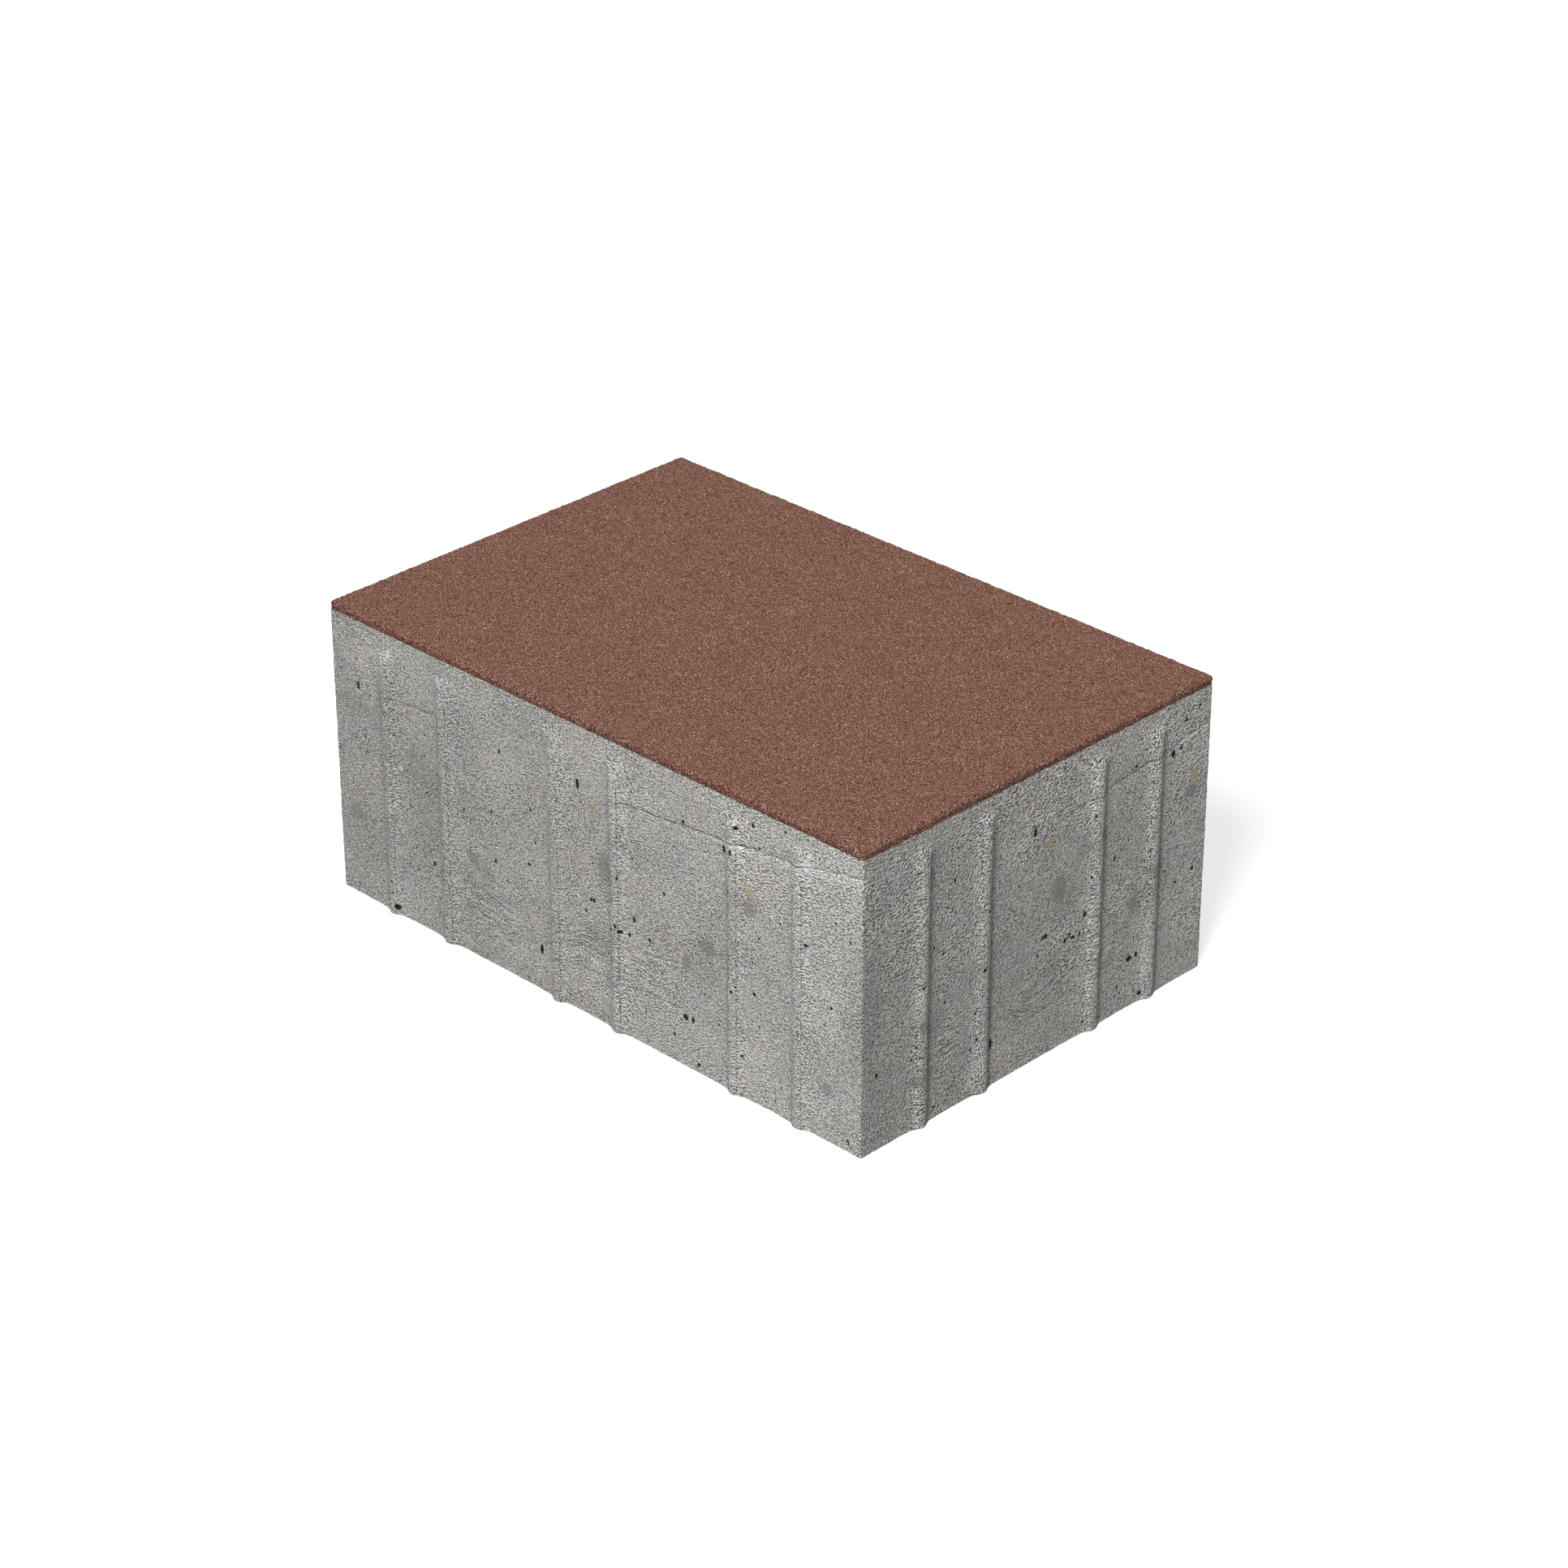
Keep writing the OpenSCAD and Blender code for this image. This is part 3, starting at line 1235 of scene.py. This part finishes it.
@dataclass
class RibSection:
    """Section of a spacer rib and the grid of rib pairs. The crest arc and the foot arcs touch."""

    height: float
    crest_radius: float = 2.2 * MM
    foot_radius: float = 3.5 * MM
    nose_radius: float = 3.2 * MM
    nose_graze: float = 0.02 * MM
    rib_spacing: float = 20.8 * MM
    pair_spacing: float = 60 * MM
    top_drop: float = 4.5 * MM
    skirt_height: float = 0.42 * MM
    skirt_reach: float = 8.5 * MM

    def shift(self, side: float) -> float:
        """Shifts an odd number of pairs by half a spacing, which puts one at the middle of a wall."""
        pairs = max(1, round(side / self.pair_spacing))
        return self.pair_spacing / 2 * (pairs % 2)

    def inputs(self, sizes: StoneSizes) -> dict[str, object]:
        """Works out the inputs of the rib tree.

        Args:
            sizes: Sizes of the stone.

        Returns:
            The inputs by name.
        """
        crest_centre = self.height - self.crest_radius
        arc_sum = self.crest_radius + self.foot_radius
        foot_reach = math.sqrt(arc_sum**2 - (self.foot_radius - crest_centre) ** 2)
        nose_centre = self.height + self.nose_graze - self.nose_radius
        nose_rise = math.sqrt(self.nose_radius**2 - nose_centre**2)
        return titled(asdict(self)) | {
            "Half Length": sizes.half_length,
            "Half Width": sizes.half_width,
            "Side Shift": self.shift(2 * sizes.half_length),
            "End Shift": self.shift(2 * sizes.half_width),
            "Crest Centre": crest_centre,
            "Touch Reach": foot_reach * self.crest_radius / arc_sum,
            "Foot Reach": foot_reach,
            "Nose Centre": nose_centre,
            "Nose Start": sizes.core_top - self.top_drop - nose_rise,
            "Rib Height": self.height,
        }


@dataclass
class WallMarks:
    """Pores, stains and cracks of the walls, which follow the same pattern on each wall."""

    sizes: StoneSizes
    pores: tuple[Spot, ...] = spots(
        (-2.4, 62.3, 0.55, 1.3), (46.6, 64.1, 0.7, 0.9), (49.5, 64.7, 0.44, 0.72),
        (51.1, 71.5, 0.5, 0.52), (55.7, 73.6, 0.42, 0.65), (26.3, 44.0, 0.4, 0.62),
        (1.5, 32.5, 0.4, 0.6), (2.5, 32.6, 0.46, 0.58), (-0.5, 28.6, 0.38, 0.44),
        (9.3, 28.4, 0.46, 0.66), (12.1, 28.3, 0.65, 0.5), (14.5, 28.2, 0.4, 0.55),
        (10.8, 29.5, 0.4, 0.55), (16.1, 32.9, 0.47, 0.76), (21.3, 29.5, 0.46, 0.5),
        (-55.0, 20.0, 0.45, 0.66), (-16.4, 11.4, 0.5, 1.4), (33.2, 13.5, 0.9, 0.76),
        (35.7, 13.7, 0.5, 0.72), (-68.9, 2.3, 0.85, 0.8), (-79.2, 46.5, 0.38, 0.52),
        (-81.1, 59.8, 0.46, 1.25), (-17.8, 40.4, 0.37, 0.44), (-19.1, 48.8, 0.42, 0.52),
        (-29.6, 60.8, 0.42, 0.52), (72.8, 49.5, 0.5, 0.44), (29.3, 7.2, 0.42, 0.52),
        (37.5, 2.1, 0.55, 0.56), (55.9, 29.3, 0.52, 0.52), (49.6, 27.9, 0.46, 0.42),
        (-32.3, 29.7, 0.4, 0.55), (33.1, 65.9, 0.4, 0.48), (-33.2, 42.9, 0.4, 0.42),
        (52.2, 11.2, 0.4, 0.36), (-41.0, 37.6, 0.32, 0.42), (80.4, 35.9, 0.32, 0.42),
        (85.8, 2.6, 0.46, 0.38), (-20.2, 33.5, 0.5, 0.46),
    )
    stains: tuple[Spot, ...] = spots(
        (-81.5, 68.2, 0.9, 1.6), (-2.7, 71.2, 0.9, 1.4), (3.0, 57.2, 1.3, 1.6), (-11.7, 5.5, 1.2, 1.8),
        (54.8, 55.0, 1.3, 2.2),
    )
    pale_spots: tuple[Spot, ...] = spots((-66.2, 42.5, 1.1, 0.9), (73.3, 70.3, 1.9, 1.7))
    rust_spots: tuple[Spot, ...] = spots((24.8, 28.2, 0.4, 0.8))
    blotches: tuple[Spot, ...] = spots(
        (6.5, 44.0, 3.4, 4.8), (54.3, 51.6, 2.6, 2.4), (33.6, 28.6, 2.2, 2.7), (40.8, 35.5, 3.8, 2.6),
        (79.0, 13.8, 2.2, 2.2), (-40.6, 27.3, 2.3, 2.1), (-42.0, 12.9, 2.3, 1.8),
        (-83.7, 23.7, 3.2, 2.8),
    )
    shades: tuple[Spot, ...] = spots(
        (-59.0, 36.0, 9.0, 24.0), (20.0, 52.0, 14.0, 6.5), (52.0, 52.0, 10.0, 6.0),
        (8.0, 40.0, 7.0, 7.0), (40.0, 30.0, 8.0, 10.0), (6.0, 23.0, 10.0, 8.0), (-82.0, 54.0, 9.0, 5.0),
        (-36.0, 25.0, 6.0, 4.5),
    )
    gleams: tuple[Spot, ...] = spots(
        (78.0, 33.0, 15.0, 12.0), (-78.0, 70.0, 14.0, 8.0), (-18.0, 7.0, 14.0, 6.0),
        (-10.0, 59.0, 7.0, 7.0),
    )
    ripples: tuple[Spot, ...] = spots(
        (-1.0, 18.0, 13.0, 8.0), (23.0, 22.0, 12.0, 10.0), (-35.0, 16.0, 16.0, 9.0),
    )
    cracks: tuple[CrackLine, ...] = (
        CrackLine(((9.0, 62.7), (13.0, 63.0)), 0.35),
        CrackLine(((13.0, 63.0), (21.0, 63.5), (33.0, 64.8), (40.0, 65.6)), 0.85),
        CrackLine(((40.0, 65.6), (48.0, 66.2)), 0.65),
        CrackLine(((48.0, 66.6), (60.0, 68.0), (70.0, 69.3)), 0.6),
        CrackLine(((70.0, 69.3), (90.0, 73.2)), 0.4),
        CrackLine(((-70.5, 60.6), (-62.0, 61.1)), 0.4),
        CrackLine(((-62.0, 61.1), (-53.0, 61.9)), 0.75),
        CrackLine(((-3.0, 12.4), (8.6, 13.1), (13.6, 13.7), (19.3, 14.7), (30.0, 15.1)), 0.5),
        CrackLine(((42.0, 16.9), (56.0, 19.2)), 0.35),
    )
    crack_step: float = 2.0 * MM
    crack_fade: float = 2.5 * MM
    crack_wander: float = 1.1 * MM
    wander_size: float = 5.0 * MM
    ragged_size: float = 0.6 * MM
    ragged_share: float = 0.35
    helpers: list[bpy.types.Object] = field(default_factory=list)

    def _helper(
        self, name: str, points: list[Vector], edges: list[tuple[int, int]], numbers: dict[str, list[float]]
    ) -> bpy.types.Object:
        """Makes a helper that only the marks tree reads.

        Args:
            name: Its name.
            points: Its points.
            edges: Its edges.
            numbers: Numbers stored at its points, by name.

        Returns:
            The helper.
        """
        mesh = bpy.data.meshes.new(name)
        mesh.from_pydata(points, edges, [])
        for label, values in numbers.items():
            mesh.attributes.new(label, "FLOAT", "POINT").data.foreach_set("value", values)
        self.helpers.append(placed(name, mesh))
        return self.helpers[-1]

    def _spots(self, kind: Mark, row: tuple[Spot, ...]) -> bpy.types.Object:
        """Makes the helper with one kind of spot on all four walls.

        Args:
            kind: The kind of spot.
            row: The spots.

        Returns:
            The helper.
        """
        points, numbers = [], {"half_width": [], "half_height": []}
        for wall in Wall:
            for spot in row:
                point = self.sizes.wall_point(wall, spot.run * MM, spot.height * MM)
                if point is not None:
                    points.append(point)
                    numbers["half_width"].append(spot.half_width * MM)
                    numbers["half_height"].append(spot.half_height * MM)
        return self._helper(f"{kind.value}_spots", points, [], numbers)

    def _cracks(self) -> bpy.types.Object:
        """Makes the helper with the cracks of all four walls, in short steps.

        Returns:
            The helper.
        """
        points, edges, numbers = [], [], {"strength": []}
        for wall in Wall:
            for crack in self.cracks:
                joined = False
                for (u0, z0), (u1, z1) in zip(crack.points, crack.points[1:]):
                    count = max(1, round((u1 - u0) * MM / self.crack_step))
                    for number in range(count + 1):
                        share = number / count
                        place = (u0 + (u1 - u0) * share) * MM, (z0 + (z1 - z0) * share) * MM
                        point = self.sizes.wall_point(wall, *place)
                        if point is None:
                            joined = False
                            continue
                        if joined:
                            edges.append((len(points) - 1, len(points)))
                        points.append(point)
                        numbers["strength"].append(crack.strength)
                        joined = True
        return self._helper("crack_lines", points, edges, numbers)

    def inputs(self) -> dict[str, object]:
        """Makes the helpers and gathers the inputs of the marks tree.

        Returns:
            The inputs by name.
        """
        rows = {
            Mark.PORE: self.pores,
            Mark.STAIN: self.stains,
            Mark.PALE: self.pale_spots,
            Mark.RUST: self.rust_spots,
            Mark.BLOTCH: self.blotches,
            Mark.SHADE: self.shades,
            Mark.GLEAM: self.gleams,
            Mark.RIPPLE: self.ripples,
        }
        values = {f"{kind.value} spots": self._spots(kind, rows[kind]) for kind in SPOT_KINDS}
        names = ("crack_fade", "crack_wander", "wander_size", "ragged_size", "ragged_share")
        values["crack lines"] = self._cracks()
        return values | titled({name: getattr(self, name) for name in names})

    def nearest(self, name: str) -> KDTree:
        """Makes a search tree of a helper's points.

        Args:
            name: The helper's name.

        Returns:
            The search tree.
        """
        points = next(helper for helper in self.helpers if helper.name == name).data.vertices
        tree = KDTree(len(points))
        for point in points:
            tree.insert(point.co, point.index)
        tree.balance()
        return tree

    def clear(self) -> None:
        """Removes the helpers."""
        for helper in self.helpers:
            bpy.data.meshes.remove(helper.data)
        self.helpers.clear()


@dataclass
class CoreBlock:
    """The grey core with its spacer ribs, pores and cracks."""

    sizes: StoneSizes
    name: str = "core_concrete_block"
    coarse_cell: float = 3.6 * MM
    wall_cuts: int = 3
    pore_reaches: Span = (1.5 * MM, 1.0 * MM)
    crack_reach: float = 1.1 * MM
    relief: Relief = Relief(
        swell_height=0.30 * MM,
        swell_size=6.0 * MM,
        grain_height=0.30 * MM,
        grain_size=1.8 * MM,
        pore_wall=0.5,
        pore_depth=0.8 * MM,
        crack_reach=0.5 * MM,
        crack_depth=0.22 * MM,
    )
    crease: float = 55.0

    def build(self, trees: GeometryTrees, material: bpy.types.Material) -> bpy.types.Object:
        """Builds the closed shell of the core.

        Args:
            trees: The geometry trees.
            material: Its finish.

        Returns:
            The core.
        """
        sizes = self.sizes
        low = (-sizes.half_length, -sizes.half_width, 0.0)
        bm = grid_box(low, (sizes.half_length, sizes.half_width, sizes.core_top), self.coarse_cell)
        split_faces(bm, self._on_wall, self.wall_cuts)
        marks = WallMarks(sizes)
        mark_inputs = marks.inputs()
        pores, cracks = marks.nearest("pore_spots"), marks.nearest("crack_lines")
        wide, narrow = self.pore_reaches
        for found, reach in ((pores, wide), (cracks, self.crack_reach), (pores, narrow)):
            self._refine(bm, found, reach)
        piece = as_object(bm, self.name)
        steps = (
            (trees.marks, mark_inputs),
            (trees.ribs, RibSection(sizes.rib_height).inputs(sizes)),
            (trees.relief, self.relief.inputs(0.0, sizes.core_top)),
        )
        apply_trees(piece, [(tree, values | {"Material": material}) for tree, values in steps])
        marks.clear()
        return piece

    @staticmethod
    def _on_wall(face: bmesh.types.BMFace) -> bool:
        """Tells whether a face lies on a wall."""
        return abs(face.normal.z) < FLAT_FROM

    def _refine(self, bm: bmesh.types.BMesh, marks: KDTree, reach: float) -> None:
        """Halves the cells of the walls that lie within reach of some marks."""
        split_faces(
            bm, lambda face: self._on_wall(face) and marks.find(face.calc_center_median())[2] < reach, 1
        )

    def dress(self, piece: bpy.types.Object) -> None:
        """Shades the core and ties it to the frame.

        Args:
            piece: The core.
        """
        shade(piece, self.crease)
        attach(piece, BODY)
        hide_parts("core_block")


@dataclass
class FaceLayer:
    """The thin red-brown layer with its rounded arris and sandy skin."""

    sizes: StoneSizes
    name: str = "face_concrete_layer"
    coarse_cell: float = 2.2 * MM
    skin_cuts: int = 3
    rim: float = 1.1 * MM
    arris: float = 0.6 * MM
    relief: Relief = Relief(
        swell_height=0.16 * MM,
        swell_size=3.0 * MM,
        grain_height=0.22 * MM,
        grain_size=0.9 * MM,
        proud=0.12 * MM,
        rim_gain=1.6,
    )
    crease: float = 60.0

    def build(self, trees: GeometryTrees, material: bpy.types.Material) -> bpy.types.Object:
        """Builds the closed shell of the layer.

        Args:
            trees: The geometry trees.
            material: Its finish.

        Returns:
            The layer.
        """
        sizes = self.sizes
        low = Vector((-sizes.half_length, -sizes.half_width, sizes.core_top))
        high = Vector((sizes.half_length, sizes.half_width, sizes.stone_top))
        bm = grid_box(low, high, self.coarse_cell)
        split_faces(bm, lambda face: face.normal.z > -FLAT_FROM, self.skin_cuts)
        split_faces(bm, self._on_rim, 1)
        inner_low = low + Vector((self.arris, self.arris, 0.0))
        inner_high = high - Vector((self.arris, self.arris, self.arris))
        rim = bm.verts.layers.float.new(Mark.RIM.value)
        for vert in bm.verts:
            vert[rim] = max(0.0, 1.0 - self._margin(vert.co) / self.rim)
            core = Vector(min(max(p, a), b) for p, a, b in zip(vert.co, inner_low, inner_high))
            reach = vert.co - core
            if reach.length > self.arris:
                vert.co = core + reach.normalized() * self.arris
        piece = as_object(bm, self.name)
        # The skin of the top is free to rise
        relief = self.relief.inputs(sizes.core_top, 2 * sizes.stone_top)
        apply_trees(piece, [(trees.relief, relief | {"Material": material})])
        return piece

    def _margin(self, place: Vector) -> float:
        """Works out how far a place lies inside the walls."""
        return min(self.sizes.half_length - abs(place.x), self.sizes.half_width - abs(place.y))

    def _on_rim(self, face: bmesh.types.BMFace) -> bool:
        """Tells whether a face of the top lies at its rim."""
        return face.normal.z > FLAT_FROM and self._margin(face.calc_center_median()) < self.rim

    def dress(self, piece: bpy.types.Object) -> None:
        """Shades the layer and ties it to the frame.

        Args:
            piece: The layer.
        """
        shade(piece, self.crease)
        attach(piece, BODY)
        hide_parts("face_layer")


@dataclass(frozen=True)
class Lamp:
    """A round soft lamp that shines at the stone."""

    name: str
    side: Coords
    level: float
    size: float
    sheen: bool = True
    distance: float = 6.0

    def hang(self) -> None:
        """Hangs the lamp on its side of the stone, with the level that it gives a surface turned to it."""
        light = bpy.data.lights.new(self.name, "AREA")
        light.shape = "DISK"
        light.size = self.size
        light.energy = self.level * (math.pi * self.distance) ** 2
        lamp = placed(self.name, light)
        toward = Vector(self.side).normalized()
        lamp.location = toward * self.distance
        lamp.visible_glossy = self.sheen
        lamp.rotation_euler = (-toward).to_track_quat("-Z", "Y").to_euler()


@dataclass
class Studio:
    """Camera, soft lights, pale world and floor."""

    lens: float = 100.23
    nearest_seen: float = 0.01
    camera_place: Coords = (0.661705, -0.668249, 0.550517)
    camera_gaze: Coords = (-0.615175, 0.627580, -0.477182)
    lamps: tuple[Lamp, ...] = (
        Lamp("key", (0.43, -0.82, 0.92), 1.305, 1.2),
        Lamp("back", (-0.46, 0.62, 0.06), 0.775, 1.2, False),
        Lamp("under", (0.0, 0.0, -0.6), 0.6, 1.2, False),
    )
    ambient: float = 0.2
    floor_reach: float = 8.0
    floor_drop: float = 0.02 * MM
    bed_gap: float = 0.5 * MM
    floor_tone: float = 0.30
    floor_glow: float = 0.73

    def build(self) -> None:
        """Builds the camera, the lights, the world and the floor."""
        self._camera()
        for lamp in self.lamps:
            lamp.hang()
        self._world()
        self._floor()

    def _camera(self) -> None:
        """Sets up the camera at the viewing angle of the photograph."""
        lens = bpy.data.cameras.new("camera")
        lens.lens = self.lens
        lens.clip_start = self.nearest_seen
        camera = placed("camera", lens)
        camera.location = self.camera_place
        camera.rotation_euler = Vector(self.camera_gaze).to_track_quat("-Z", "Y").to_euler()
        bpy.context.scene.camera = camera

    def _seen(self, wiring: Wiring) -> Socket:
        """Makes a mask of the rays that see the background.

        Args:
            wiring: Wiring of the world or the floor.

        Returns:
            1 for camera, glossy and transmission rays, and 0 for the rest.
        """
        path = wiring.node("ShaderNodeLightPath").outputs
        seen = wiring.math("MAXIMUM", path["Is Camera Ray"], path["Is Glossy Ray"])
        return wiring.math("MAXIMUM", seen, path["Is Transmission Ray"])

    def _world(self) -> None:
        """Surrounds the stone with even light that looks white to the camera."""
        world = bpy.data.worlds.new("pale_world")
        world.cycles.sampling_method = "NONE"
        bpy.context.scene.world = world
        wiring = Wiring(cleared(world))
        strength = wiring.math("MULTIPLY_ADD", self._seen(wiring), 1.0 - self.ambient, self.ambient)
        light = wiring.node("ShaderNodeBackground", {"Color": (1.0, 1.0, 1.0, 1.0), "Strength": strength})
        wiring.node("ShaderNodeOutputWorld", {"Surface": light.outputs[0]})

    def _floor_finish(self) -> bpy.types.Material:
        """Makes the pale finish of the floor, which is clear from below and where the stone lies on it.

        Returns:
            The finish.
        """
        material = bpy.data.materials.new("pale_floor")
        wiring = Wiring(cleared(material))
        tone = self.floor_tone
        matt = wiring.node("ShaderNodeBsdfDiffuse", {"Color": (tone, tone, tone, 1.0)}).outputs[0]
        glow_level = wiring.product(self._seen(wiring), self.floor_glow)
        glow = wiring.node("ShaderNodeEmission", {"Strength": glow_level}).outputs[0]
        lit = wiring.node("ShaderNodeAddShader", {0: matt, 1: glow}).outputs[0]
        clear = wiring.node("ShaderNodeBsdfTransparent").outputs[0]
        below = wiring.node("ShaderNodeNewGeometry").outputs["Backfacing"]
        ray_length = wiring.node("ShaderNodeLightPath").outputs["Ray Length"]
        bedded = wiring.math("LESS_THAN", ray_length, self.bed_gap)
        passing = wiring.math("MAXIMUM", below, bedded)
        both = wiring.node("ShaderNodeMixShader", {0: passing, 1: lit, 2: clear}).outputs[0]
        wiring.node("ShaderNodeOutputMaterial", {"Surface": both})
        return material

    def _floor(self) -> None:
        """Lays the floor just below the bed of the stone."""
        reach, level = self.floor_reach, -self.floor_drop
        corners = [(x * reach, y * reach, level) for x, y in ((-1, -1), (1, -1), (1, 1), (-1, 1))]
        mesh = bpy.data.meshes.new("floor")
        mesh.from_pydata(corners, [], [(0, 1, 2, 3)])
        mesh.materials.append(self._floor_finish())
        floor = placed("floor", mesh)


def main() -> None:
    """Builds the stone and its studio, and reports each piece."""
    logging.basicConfig(level=logging.INFO, format="%(message)s")
    bpy.context.scene.view_settings.view_transform = "Standard"
    sizes = StoneSizes.from_frame()
    trees = GeometryTrees()
    groups = ShaderGroups()
    for part, finish in ((CoreBlock(sizes), CoreConcrete()), (FaceLayer(sizes), FaceConcrete())):
        piece = part.build(trees, finish.material(groups))
        part.dress(piece)
        triangles = sum(len(face.vertices) - 2 for face in piece.data.polygons)
        LOG.info("%s: %d triangles", piece.name, triangles)
    Studio().build()


if __name__ == "__main__":
    main()
